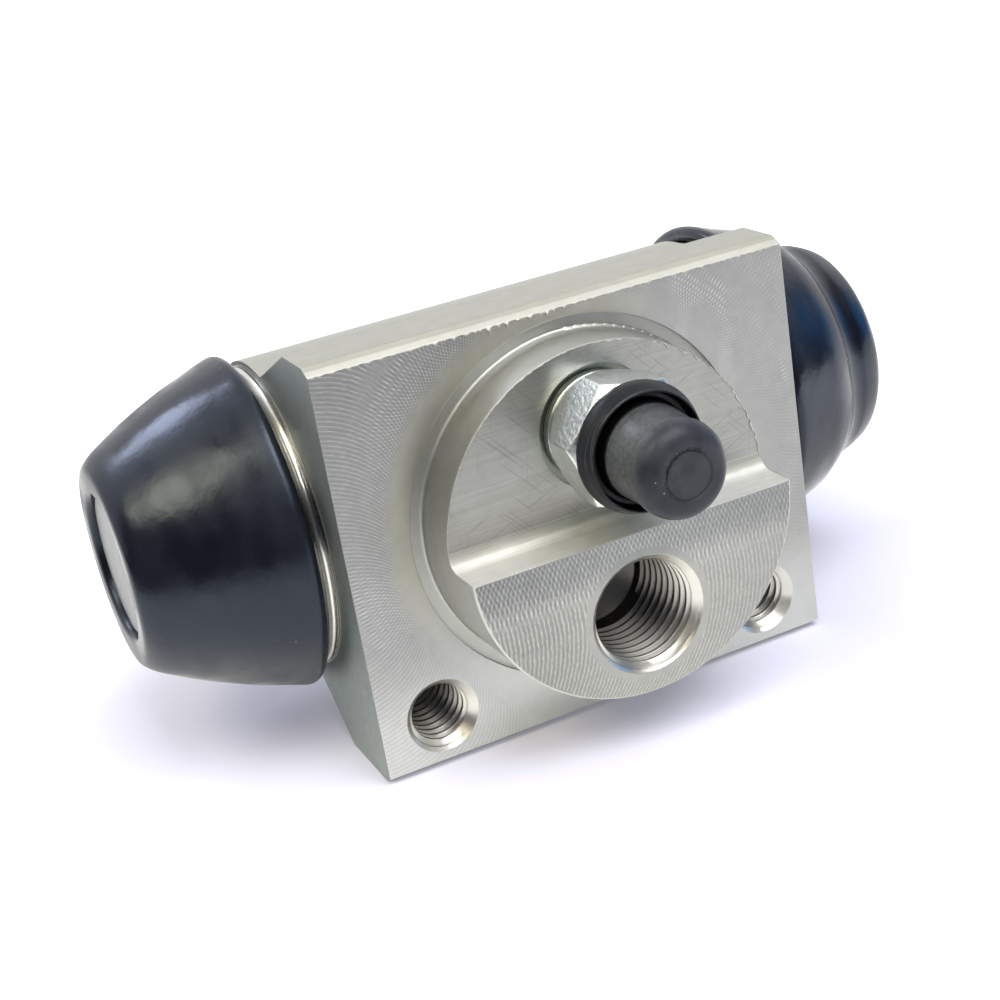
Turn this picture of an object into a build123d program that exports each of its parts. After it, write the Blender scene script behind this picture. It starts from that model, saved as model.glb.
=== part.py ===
"""Drum brake wheel cylinder with two opposed pistons, modelled in millimetres.

The X axis runs along the bore, -Y points out of the mounting face and +Z is up when fitted.
The origin is the centre of the pilot boss, in the plane of the mounting face.
"""
from build123d import *
from math import cos, radians, tan
import os

os.makedirs("parts", exist_ok=True)

# Bore and barrel
bore_diameter = 20.64
bore_axis_y = 17.6
barrel_diameter = 28.5
bore_mouth_chamfer = 0.6

# Extruded mounting plate in front of the barrel, its webs running into the barrel by the insets
body_length = 43.6
plate_height = 37.3
plate_centre_z = -1.15
edge_facet_depth = 1.2
edge_facet_drop = 0.6
plate_top_depth = 5.8
plate_bottom_depth = 9.0
top_web_inset = 2.0037
bottom_web_inset = 1.1691
valley_radius = 1.8
peak_radius = 0.5
corner_margin = 1.0

# Turned necks that carry the dust boots, measured outwards from the body's end faces
neck_diameter = 27.7
neck_length = 4.9
neck_edge_radius = 0.25
ring_groove_position = 0.2
ring_groove_width = 0.8
ring_groove_depth = 0.35
boot_seat_position = 1.85
boot_seat_width = 2.2
boot_seat_depth = 0.8

# Pilot boss, its upper half milled lower
boss_diameter = 29.5
pad_height = 9.15
step_height = 4.65
step_wall_z = -0.3
step_fillet = 1.5
boss_edge_chamfer = 0.15
relief_diameter = 32.0
relief_depth = 0.45
relief_fillet = 0.3

# Fixing holes, tapped M6
fixing_spacing = 32.2
fixing_z = -15.1
fixing_tap_diameter = 5.0
fixing_depth = 9.5
fixing_mouth_diameter = 6.65
drill_point_angle = 118.0

# Brake pipe port, tapped M10 x 1, with the drilling that feeds the bore
port_z = -7.7
port_tap_diameter = 8.92
port_depth = 10.5
port_mouth_diameter = 10.4
feed_diameter = 2.6
feed_x = -1.2
feed_z = -6.4

# Bleeder hole in the lower half-moon, its depths measured from the half-moon
bleeder_z = 7.75
bleeder_hole_diameter = 7.4
bleeder_hole_depth = 7.4
spot_face_diameter = 10.6
spot_face_depth = 0.8
seat_drill_diameter = 2.0

# Bleeder screw
thread_clearance = 0.05
seat_gap = 0.02
screw_tip_diameter = 5.8
screw_tip_length = 2.6
screw_tip_flat = 1.7
collar_gap = 0.15
collar_diameter = 9.4
collar_height = 1.4
collar_edge = 0.3
hex_across_flats = 9.9
hex_height = 5.4
hex_chamfer_diameter = 9.4
hex_chamfer_angle = 30.0
hex_shoulder_length = 2.1
hex_turn = 50.0
nipple_diameter = 5.4
nipple_length = 6.2
barb_diameter = 6.2
barb_length = 2.2
barb_tip_diameter = 4.8
bleed_drill_diameter = 1.8
cross_drill_diameter = 1.6

# Rubber cap pressed over the bleeder's nipple
cap_clearance = 0.15
cap_flange_diameter = 10.8
cap_flange_front_diameter = 9.7
cap_flange_widest = 0.8
cap_flange_length = 2.2
cap_groove_depth = 1.3
cap_groove_edge = 0.15
cap_base_diameter = 8.1
cap_tip_diameter = 7.7
cap_end_radius = 1.1
cap_end_wall = 1.6
cap_mark_diameter = 3.9
cap_mark_depth = 0.12

# Pistons
piston_clearance = 0.04
piston_land_length = 12.5
piston_corner = 0.5
left_piston_out = 14.9
right_piston_out = 14.4
nose_length = 7.6
nose_diameter = 14.4
nose_root_radius = 1.0
nose_flange_diameter = 12.9
nose_flange_length = 1.0
nose_flange_chamfer = 0.25
boot_groove_diameter = 10.8
boot_groove_length = 1.9
piston_dish_diameter = 6.0
piston_dish_depth = 1.0

# Cup seals and the expanders that hold their lips out
cup_clearance = 0.06
cup_length = 6.0
cup_base = 2.2
cup_lip_root = 1.8
cup_lip_tip = 1.1
cup_heel_radius = 0.5
expander_clearance = 0.1
expander_sheet = 0.8
expander_floor_diameter = 13.6
expander_height = 3.0
expander_post_diameter = 8.6
expander_post_height = 2.2

# Return spring
spring_wire = 1.3
spring_clearance = 0.25
spring_end_gap = 0.1
spring_coils = 7

# Dust boots, measured outwards from the body's end faces
boot_wall = 1.1
boot_fit = 0.05
boot_edge_diameter = 28.5
boot_crown_diameter = 30.1
boot_crown_position = 2.6
boot_shoulder_diameter = 29.0
boot_shoulder_position = 4.3
boot_bulge = 0.6
left_boot_end_diameter = 19.0
right_boot_end_diameter = 19.8
boot_end_setback = 0.6
boot_lip_rounding = 0.6
boot_lip_stand = 0.55
boot_lip_fit = 0.2
crest_position = 9.1
crest_diameter = 25.6
crest_radius = 0.9
waist_position = 10.9
waist_diameter = 22.0
waist_radius = 0.9
swell_position = 12.5
swell_diameter = 21.6
swell_radius = 1.2
inner_fold_radius = 0.6

half_body = body_length / 2
bore_radius = bore_diameter / 2
neck_radius = neck_diameter / 2
boss_radius = boss_diameter / 2
seat_radius = neck_radius - boot_seat_depth
plate_top = plate_centre_z + plate_height / 2
plate_bottom = plate_centre_z - plate_height / 2
face_top = plate_top - edge_facet_drop
face_bottom = plate_bottom + edge_facet_drop
bore_axis = Axis((0, bore_axis_y, 0), (1, 0, 0))
bore_section = Plane(origin=(0, bore_axis_y, 0), x_dir=(1, 0, 0), z_dir=(0, -1, 0))
step_floor = Plane(origin=(0, -step_height, 0), x_dir=(1, 0, 0), z_dir=(0, -1, 0))
bleeder_axis = Axis((0, 0, bleeder_z), (0, 1, 0))
bleeder_section = Plane(origin=(0, -step_height, bleeder_z), x_dir=(1, 0, 0), z_dir=(0, 0, -1))


def end_section(side):
    """Plane through the bore axis whose X runs outwards from an end face of the body."""
    return Plane(origin=(side * half_body, bore_axis_y, 0), x_dir=(side, 0, 0), z_dir=(0, -side, 0))


def hole_section(x, y, z):
    """Plane through the axis of a hole whose Y runs into the body from the hole's mouth."""
    return Plane(origin=(x, y, z), x_dir=(1, 0, 0), z_dir=(0, 0, 1))


def tapped_hole(diameter, depth, mouth_diameter):
    """Half section of a blind hole: chamfered mouth, straight wall and drill point."""
    radius = diameter / 2
    mouth_radius = mouth_diameter / 2
    point_length = radius / tan(radians(drill_point_angle / 2))
    with BuildSketch() as section:
        with BuildLine():
            Polyline(
                (0, 0),
                (mouth_radius, 0),
                (radius, mouth_radius - radius),
                (radius, depth),
                (0, depth + point_length),
                close=True,
            )
        make_face()
    return section.sketch


def piston_rear(out):
    """Inner end of a piston, measured outwards from the body's end face."""
    return out - nose_length - piston_land_length


fixing_section = tapped_hole(fixing_tap_diameter, fixing_depth, fixing_mouth_diameter)
port_section = tapped_hole(port_tap_diameter, port_depth, port_mouth_diameter)

with BuildSketch() as neck_section:
    with Locations((neck_length / 2, neck_radius / 2)):
        Rectangle(neck_length, neck_radius)
    fillet(neck_section.vertices().group_by(Axis.Y)[-1].sort_by(Axis.X)[-1], neck_edge_radius)
    with Locations((boot_seat_position + boot_seat_width / 2, neck_radius - boot_seat_depth / 2)):
        Rectangle(boot_seat_width, boot_seat_depth, mode=Mode.SUBTRACT)
    with Locations((ring_groove_position + ring_groove_width / 2, neck_radius)):
        Ellipse(ring_groove_width / 2, ring_groove_depth, mode=Mode.SUBTRACT)

# Cylinder body
with BuildPart() as cylinder_body:
    with BuildSketch(Plane.YZ.offset(-half_body)) as body_section:
        with BuildLine():
            Polyline(
                (0, face_bottom),
                (0, face_top),
                (edge_facet_depth, plate_top),
                (plate_top_depth, plate_top),
                (bore_axis_y, barrel_diameter / 2 - top_web_inset),
                (bore_axis_y, bottom_web_inset - barrel_diameter / 2),
                (plate_bottom_depth, plate_bottom),
                (edge_facet_depth, plate_bottom),
                close=True,
            )
        make_face()
        with Locations((bore_axis_y, 0)):
            Circle(barrel_diameter / 2)
        webs = body_section.vertices().filter_by(lambda v: edge_facet_depth + corner_margin < v.X < bore_axis_y)
        fillet(webs.filter_by(lambda v: v.X < plate_bottom_depth + corner_margin), peak_radius)
        valleys = body_section.vertices().filter_by(lambda v: plate_bottom_depth + corner_margin < v.X < bore_axis_y)
        fillet(valleys, valley_radius)
    extrude(amount=body_length)

    # Relief groove round the pilot boss, then the boss itself
    with BuildSketch(Plane.XZ.offset(-relief_depth)):
        Circle(relief_diameter / 2)
    extrude(amount=relief_depth, mode=Mode.SUBTRACT)
    with BuildSketch(Plane.XZ.offset(-relief_depth)):
        Circle(boss_radius)
    extrude(amount=relief_depth + pad_height)
    boss_edges = cylinder_body.edges().filter_by(GeomType.CIRCLE).filter_by(
        lambda e: abs(e.radius - boss_radius) < 0.01 and e.center().Y < half_body / 2
    )
    fillet(boss_edges.sort_by(Axis.Y)[-1], relief_fillet)
    boss_edges = cylinder_body.edges().filter_by(GeomType.CIRCLE).sort_by(Axis.Y)
    chamfer(boss_edges[0], boss_edge_chamfer)

    # Upper half of the boss milled down, leaving a wall with a filleted foot
    with BuildSketch(Plane.YZ.offset(-relief_diameter / 2)) as cutter:
        with BuildLine():
            Polyline(
                (-pad_height, step_wall_z),
                (-step_height, step_wall_z),
                (-step_height, boss_radius),
                (-pad_height, boss_radius),
                close=True,
            )
        make_face()
        fillet(cutter.vertices().group_by(Axis.Y)[0].sort_by(Axis.X)[-1], step_fillet)
    extrude(amount=relief_diameter, mode=Mode.SUBTRACT)

    # Fixing holes, pipe port and its feed drilling
    for x in (-fixing_spacing / 2, fixing_spacing / 2):
        with BuildSketch(hole_section(x, 0, fixing_z)):
            add(fixing_section)
        revolve(axis=Axis((x, 0, fixing_z), (0, 1, 0)), mode=Mode.SUBTRACT)
    with BuildSketch(hole_section(0, -pad_height, port_z)):
        add(port_section)
    revolve(axis=Axis((0, 0, port_z), (0, 1, 0)), mode=Mode.SUBTRACT)
    with BuildSketch(Plane.XZ.offset(-bore_axis_y)):
        with Locations((feed_x, feed_z)):
            Circle(feed_diameter / 2)
    extrude(amount=bore_axis_y + pad_height - port_depth, mode=Mode.SUBTRACT)

    # Bleeder hole: spot face, thread, conical seat and its drilling
    with BuildSketch(bleeder_section):
        with BuildLine():
            Polyline(
                (0, 0),
                (spot_face_diameter / 2, 0),
                (spot_face_diameter / 2, -spot_face_depth),
                (bleeder_hole_diameter / 2, -spot_face_depth),
                (bleeder_hole_diameter / 2, -bleeder_hole_depth),
                (seat_drill_diameter / 2, -bleeder_hole_depth - (bleeder_hole_diameter - seat_drill_diameter) / 2),
                (seat_drill_diameter / 2, -step_height - bore_axis_y),
                (0, -step_height - bore_axis_y),
                close=True,
            )
        make_face()
    revolve(axis=bleeder_axis, mode=Mode.SUBTRACT)

    # Necks, then the bore right through them
    for side in (-1, 1):
        with BuildSketch(end_section(side)):
            add(neck_section.sketch)
        revolve(axis=bore_axis)
    bore_end = half_body + neck_length
    with BuildSketch(bore_section):
        with BuildLine():
            Polyline(
                (-bore_end, 0),
                (-bore_end, bore_radius + bore_mouth_chamfer),
                (-bore_end + bore_mouth_chamfer, bore_radius),
                (bore_end - bore_mouth_chamfer, bore_radius),
                (bore_end, bore_radius + bore_mouth_chamfer),
                (bore_end, 0),
                close=True,
            )
        make_face()
    revolve(axis=bore_axis, mode=Mode.SUBTRACT)

cylinder_body.part.label = "cylinder_body"
export_step(cylinder_body.part, "parts/cylinder_body.step")


def piston_section(out):
    """Half section of a piston: land, nose, groove for the boot and the face towards the shoe."""
    land_radius = bore_radius - piston_clearance
    rear = piston_rear(out)
    land_front = out - nose_length
    groove_front = out - nose_flange_length
    groove_rear = groove_front - boot_groove_length
    with BuildSketch() as section:
        with BuildLine():
            Polyline(
                (rear + piston_dish_depth, 0),
                (rear + piston_dish_depth, piston_dish_diameter / 2),
                (rear, piston_dish_diameter / 2),
                (rear, land_radius),
                (land_front, land_radius),
                (land_front, nose_diameter / 2),
                (groove_rear, nose_diameter / 2),
                (groove_rear, boot_groove_diameter / 2),
                (groove_front, boot_groove_diameter / 2),
                (groove_front, nose_flange_diameter / 2),
                (out, nose_flange_diameter / 2),
                (out, 0),
                close=True,
            )
        make_face()
        chamfer(section.vertices().group_by(Axis.Y)[-1], piston_corner)
        face_corner = section.vertices().group_by(Axis.X)[-1].sort_by(Axis.Y)[-1]
        chamfer(face_corner, nose_flange_chamfer)
        nose_root = section.vertices().filter_by(lambda v: abs(v.X - land_front) < 0.01)
        fillet(nose_root.sort_by(Axis.Y)[0], nose_root_radius)
    return section.sketch


left_piston_section = piston_section(left_piston_out)
right_piston_section = piston_section(right_piston_out)

# Left piston
with BuildPart() as left_piston:
    with BuildSketch(end_section(-1)):
        add(left_piston_section)
    revolve(axis=bore_axis)
left_piston.part.label = "left_piston"
export_step(left_piston.part, "parts/left_piston.step")

# Right piston
with BuildPart() as right_piston:
    with BuildSketch(end_section(1)):
        add(right_piston_section)
    revolve(axis=bore_axis)
right_piston.part.label = "right_piston"
export_step(right_piston.part, "parts/right_piston.step")

cup_radius = bore_radius - cup_clearance


def cup_section(out):
    """Half section of a cup seal, its lip towards the fluid in the middle of the bore."""
    back = piston_rear(out)
    with BuildSketch() as section:
        with BuildLine():
            Polyline(
                (back, 0),
                (back, cup_radius),
                (back - cup_length, cup_radius),
                (back - cup_length, cup_radius - cup_lip_tip),
                (back - cup_base, cup_radius - cup_lip_root),
                (back - cup_base, 0),
                close=True,
            )
        make_face()
        fillet(section.vertices().group_by(Axis.Y)[-1].sort_by(Axis.X)[-1], cup_heel_radius)
    return section.sketch


def expander_section(out):
    """Half section of a pressed expander: rim against the lip, post inside the spring."""
    floor = piston_rear(out) - cup_base
    lip_taper = (cup_lip_root - cup_lip_tip) / (cup_length - cup_base)
    rim_radius = cup_radius - cup_lip_root + lip_taper * expander_height - expander_clearance
    floor_radius = expander_floor_diameter / 2
    post_radius = expander_post_diameter / 2
    with BuildSketch() as section:
        with BuildLine():
            Polyline(
                (floor, 0),
                (floor, floor_radius),
                (floor - expander_height, rim_radius),
                (floor - expander_height, rim_radius - expander_sheet),
                (floor - expander_sheet, floor_radius - expander_sheet / 2),
                (floor - expander_sheet, post_radius),
                (floor - expander_sheet - expander_post_height, post_radius),
                (floor - expander_sheet - expander_post_height, post_radius - expander_sheet),
                (floor - expander_sheet, post_radius - expander_sheet),
                (floor - expander_sheet, 0),
                close=True,
            )
        make_face()
    return section.sketch


left_cup_section = cup_section(left_piston_out)
right_cup_section = cup_section(right_piston_out)
left_expander_section = expander_section(left_piston_out)
right_expander_section = expander_section(right_piston_out)

# Left cup seal
with BuildPart() as left_cup_seal:
    with BuildSketch(end_section(-1)):
        add(left_cup_section)
    revolve(axis=bore_axis)
left_cup_seal.part.label = "left_cup_seal"
export_step(left_cup_seal.part, "parts/left_cup_seal.step")

# Right cup seal
with BuildPart() as right_cup_seal:
    with BuildSketch(end_section(1)):
        add(right_cup_section)
    revolve(axis=bore_axis)
right_cup_seal.part.label = "right_cup_seal"
export_step(right_cup_seal.part, "parts/right_cup_seal.step")

# Left cup expander
with BuildPart() as left_cup_expander:
    with BuildSketch(end_section(-1)):
        add(left_expander_section)
    revolve(axis=bore_axis)
left_cup_expander.part.label = "left_cup_expander"
export_step(left_cup_expander.part, "parts/left_cup_expander.step")

# Right cup expander
with BuildPart() as right_cup_expander:
    with BuildSketch(end_section(1)):
        add(right_expander_section)
    revolve(axis=bore_axis)
right_cup_expander.part.label = "right_cup_expander"
export_step(right_cup_expander.part, "parts/right_cup_expander.step")

# Return spring between the two expanders
seat_depth = cup_base + expander_sheet
spring_start = -half_body - piston_rear(left_piston_out) + seat_depth + spring_end_gap + spring_wire / 2
spring_finish = half_body + piston_rear(right_piston_out) - seat_depth - spring_end_gap - spring_wire / 2
spring_length = spring_finish - spring_start
spring_radius = expander_post_diameter / 2 + spring_clearance + spring_wire / 2
with BuildPart() as return_spring:
    with BuildLine() as coil:
        Helix(
            pitch=spring_length / spring_coils,
            height=spring_length,
            radius=spring_radius,
            center=(spring_start, bore_axis_y, 0),
            direction=(1, 0, 0),
        )
    with BuildSketch(Plane(origin=coil.line @ 0, z_dir=coil.line % 0)):
        Circle(spring_wire / 2)
    sweep(is_frenet=True)
return_spring.part.label = "return_spring"
export_step(return_spring.part, "parts/return_spring.step")


def boot_section(out, end_diameter, folded):
    """Half section of a dust boot, from the neck's seat to the bead in the piston's groove."""
    back = boot_seat_position + boot_fit
    seat_front = boot_seat_position + boot_seat_width - boot_fit
    neck_front = neck_length + boot_fit
    bead_front = out - nose_flange_length - boot_fit
    bead_rear = out - nose_flange_length - boot_groove_length + boot_fit
    tip = out + boot_lip_stand
    lip_inner = nose_flange_diameter / 2 + boot_lip_fit
    lip_outer = end_diameter / 2 - boot_lip_rounding
    land = neck_radius + boot_fit
    shoulder = Vector(boot_shoulder_position, boot_shoulder_diameter / 2)
    end = Vector(tip - boot_end_setback, end_diameter / 2)
    bulge = (end - shoulder).rotate(Axis.Z, 90).normalized() * boot_bulge
    middle = (shoulder + end) / 2 + bulge
    inner_end = Vector(bead_rear, end_diameter / 2 - boot_wall / 2)
    inner_start = Vector(neck_front, land)
    lip_middle = Vector(tip - boot_end_setback * 0.3, (end_diameter * 0.6 + lip_outer * 2 * 0.4) / 2)
    with BuildSketch() as section:
        with BuildLine():
            ThreePointArc(
                (back, boot_edge_diameter / 2),
                (boot_crown_position, boot_crown_diameter / 2),
                shoulder,
            )
            if folded:
                crest = Vector(crest_position, crest_diameter / 2)
                waist = Vector(waist_position, waist_diameter / 2)
                swell = Vector(swell_position, swell_diameter / 2)
                inner_crest = crest + Vector(-boot_wall / 2, -boot_wall)
                FilletPolyline(
                    shoulder,
                    crest,
                    waist,
                    swell,
                    end,
                    radius=(crest_radius, waist_radius, swell_radius),
                )
                FilletPolyline(inner_start, inner_crest, inner_end, radius=inner_fold_radius)
            else:
                ThreePointArc(shoulder, middle, end)
                ThreePointArc(inner_start, (inner_start + inner_end) / 2 + bulge, inner_end)
            ThreePointArc(end, lip_middle, (tip, lip_outer))
            Polyline(
                (tip, lip_outer),
                (tip, lip_inner),
                (bead_front, lip_inner),
                (bead_front, boot_groove_diameter / 2 + boot_fit),
                (bead_rear, boot_groove_diameter / 2 + boot_fit),
                inner_end,
            )
            Polyline(
                inner_start,
                (seat_front, land),
                (seat_front, seat_radius + boot_fit),
                (back, seat_radius + boot_fit),
                (back, boot_edge_diameter / 2),
            )
        make_face()
    return section.sketch


left_boot_section = boot_section(left_piston_out, left_boot_end_diameter, False)
right_boot_section = boot_section(right_piston_out, right_boot_end_diameter, True)

# Left dust boot
with BuildPart() as left_dust_boot:
    with BuildSketch(end_section(-1)):
        add(left_boot_section)
    revolve(axis=bore_axis)
left_dust_boot.part.label = "left_dust_boot"
export_step(left_dust_boot.part, "parts/left_dust_boot.step")

# Right dust boot, with the fold that it takes when its piston sits further in
with BuildPart() as right_dust_boot:
    with BuildSketch(end_section(1)):
        add(right_boot_section)
    revolve(axis=bore_axis)
right_dust_boot.part.label = "right_dust_boot"
export_step(right_dust_boot.part, "parts/right_dust_boot.step")

# Bleeder screw, its heights measured outwards from the half-moon of the boss
screw_radius = bleeder_hole_diameter / 2 - thread_clearance
tip_radius = screw_tip_diameter / 2
cone_start = -bleeder_hole_depth - (bleeder_hole_diameter / 2 - tip_radius) + seat_gap
tip_end = cone_start - (tip_radius - screw_tip_flat / 2)
neck_top = cone_start + screw_tip_length
collar_base = -spot_face_depth + collar_gap
collar_top = collar_base + collar_height
hex_top = collar_top + hex_height
nipple_tip = hex_top + nipple_length
cross_drill_y = cone_start + screw_tip_length / 2
hex_corner = hex_across_flats / 2 / cos(radians(30))
hex_fall = (hex_corner - hex_chamfer_diameter / 2) * tan(radians(hex_chamfer_angle))
with BuildPart() as bleeder_screw:
    with BuildSketch(step_floor.offset(collar_top)):
        with Locations((0, bleeder_z)):
            RegularPolygon(hex_across_flats / 2, 6, major_radius=False, rotation=hex_turn)
    extrude(amount=hex_height)
    with BuildSketch(bleeder_section):
        with BuildLine():
            Polyline(
                (0, collar_top),
                (collar_diameter / 2, collar_top),
                (hex_corner, collar_top + hex_shoulder_length),
                (hex_corner, hex_top - hex_fall),
                (hex_chamfer_diameter / 2, hex_top),
                (0, hex_top),
                close=True,
            )
        make_face()
    revolve(axis=bleeder_axis, mode=Mode.INTERSECT)
    with BuildSketch(bleeder_section):
        with BuildLine():
            Polyline(
                (0, tip_end),
                (screw_tip_flat / 2, tip_end),
                (tip_radius, cone_start),
                (tip_radius, neck_top),
                (screw_radius, neck_top + screw_radius - tip_radius),
                (screw_radius, collar_base),
                (collar_diameter / 2 - collar_edge, collar_base),
                (collar_diameter / 2, collar_base + collar_edge),
                (collar_diameter / 2, collar_top - collar_edge),
                (collar_diameter / 2 - collar_edge, collar_top),
                (nipple_diameter / 2, collar_top),
                (nipple_diameter / 2, nipple_tip - barb_length),
                (barb_diameter / 2, nipple_tip - barb_length),
                (barb_tip_diameter / 2, nipple_tip),
                (0, nipple_tip),
                close=True,
            )
        make_face()
    revolve(axis=bleeder_axis)
    with BuildSketch(step_floor.offset(nipple_tip)):
        with Locations((0, bleeder_z)):
            Circle(bleed_drill_diameter / 2)
    extrude(amount=cross_drill_y - nipple_tip, mode=Mode.SUBTRACT)
    with BuildSketch(Plane.YZ):
        with Locations((-step_height - cross_drill_y, bleeder_z)):
            Circle(cross_drill_diameter / 2)
    extrude(amount=bleeder_hole_diameter, both=True, mode=Mode.SUBTRACT)
bleeder_screw.part.label = "bleeder_screw"
export_step(bleeder_screw.part, "parts/bleeder_screw.step")

# Rubber cap over the nipple, its flange against the hexagon
cap_start = hex_top + cap_clearance
cap_floor = nipple_tip + cap_clearance
cap_end = cap_floor + cap_end_wall
cap_bore = barb_diameter / 2 + cap_clearance
cap_front = cap_start + cap_flange_length
with BuildPart() as bleeder_cap:
    with BuildSketch(bleeder_section) as cap_section:
        with BuildLine():
            Polyline(
                (cap_bore, cap_start),
                (cap_flange_diameter / 2 - cap_clearance, cap_start),
                (cap_flange_diameter / 2, cap_start + cap_flange_widest),
                (cap_flange_front_diameter / 2, cap_front),
                (cap_flange_front_diameter / 2 - cap_groove_edge, cap_front),
                (cap_flange_front_diameter / 2 - cap_groove_edge, cap_front - cap_groove_depth),
                (cap_base_diameter / 2, cap_front - cap_groove_depth),
                (cap_tip_diameter / 2, cap_end),
                (cap_mark_diameter / 2, cap_end),
                (cap_mark_diameter / 2, cap_end - cap_mark_depth),
                (0, cap_end - cap_mark_depth),
                (0, cap_floor),
                (cap_bore, cap_floor),
                close=True,
            )
        make_face()
        fillet(cap_section.vertices().group_by(Axis.Y)[-1].sort_by(Axis.X)[-1], cap_end_radius)
    revolve(axis=bleeder_axis)
bleeder_cap.part.label = "bleeder_cap"
export_step(bleeder_cap.part, "parts/bleeder_cap.step")
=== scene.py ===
"""Looks of a drum brake wheel cylinder: machined body, dust boots, pistons, bleeder and studio.

Sizes are in millimetres and turned into metres by MM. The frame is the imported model's: X runs
along the bore, -Y points out of the mounting face and +Z is up.
"""
import logging
from dataclasses import dataclass
from enum import Enum
from functools import reduce
from math import cos, pi, radians, sin
from typing import Sequence

import bmesh
import bpy
from mathutils import Matrix, Vector, noise


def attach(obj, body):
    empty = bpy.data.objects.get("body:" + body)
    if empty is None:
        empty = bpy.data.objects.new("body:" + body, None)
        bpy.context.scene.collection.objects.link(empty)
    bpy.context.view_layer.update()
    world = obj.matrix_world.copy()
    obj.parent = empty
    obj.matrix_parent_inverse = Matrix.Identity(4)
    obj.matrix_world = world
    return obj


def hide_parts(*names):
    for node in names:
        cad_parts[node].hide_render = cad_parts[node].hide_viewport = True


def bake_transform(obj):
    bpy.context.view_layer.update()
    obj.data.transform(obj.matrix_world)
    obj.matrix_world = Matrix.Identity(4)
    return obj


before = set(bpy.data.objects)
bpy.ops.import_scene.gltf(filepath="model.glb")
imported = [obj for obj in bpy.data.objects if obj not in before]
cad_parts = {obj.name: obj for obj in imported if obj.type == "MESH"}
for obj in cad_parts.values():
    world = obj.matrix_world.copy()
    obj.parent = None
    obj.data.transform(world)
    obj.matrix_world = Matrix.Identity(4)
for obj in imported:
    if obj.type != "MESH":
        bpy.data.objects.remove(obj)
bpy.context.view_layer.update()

log = logging.getLogger("wheel_cylinder")

Socket = bpy.types.NodeSocket
Value = float | Sequence[float] | Socket
Material = bpy.types.Material
Object = bpy.types.Object
BMesh = bmesh.types.BMesh
Colour = tuple[float, float, float, float]
Place = tuple[float, float, float]
Corner = tuple[float, float, float]

MM = 0.001
TURN = 2 * pi
ORIGIN = (0.0, 0.0, 0.0)
WHITE = (1.0, 1.0, 1.0, 1)

# A point on the bore's axis, and how far the body's end faces are from the middle
BORE = (0.0, 17.6, 0.0)
END_X = 21.8

# Levels of the mounting face, the groove round the boss and the boss's upper and lower half
FACE_Y, GROOVE_Y, MOON_Y, PAD_Y = 0.0, 0.45, -4.65, -9.15

# Radius of the boss, and places of the bleeder, the port and the fixing holes over the face
BOSS_RADIUS = 14.7
BLEEDER_Z, PORT_Z = 7.75, -7.7
SCREW_X, SCREW_Z = 16.1, -15.1


class Side(Enum):
    """The two ends of the bore, with the sign of X that each has."""

    LEFT = -1
    RIGHT = 1

    @property
    def label(self) -> str:
        """The side's name as the CAD nodes spell it."""
        return self.name.lower()


def spaced(key: str) -> str:
    """A keyword as Blender spells the socket, such as Specular IOR Level."""
    return " ".join(word if word.isupper() else word.title() for word in key.split("_"))


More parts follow.
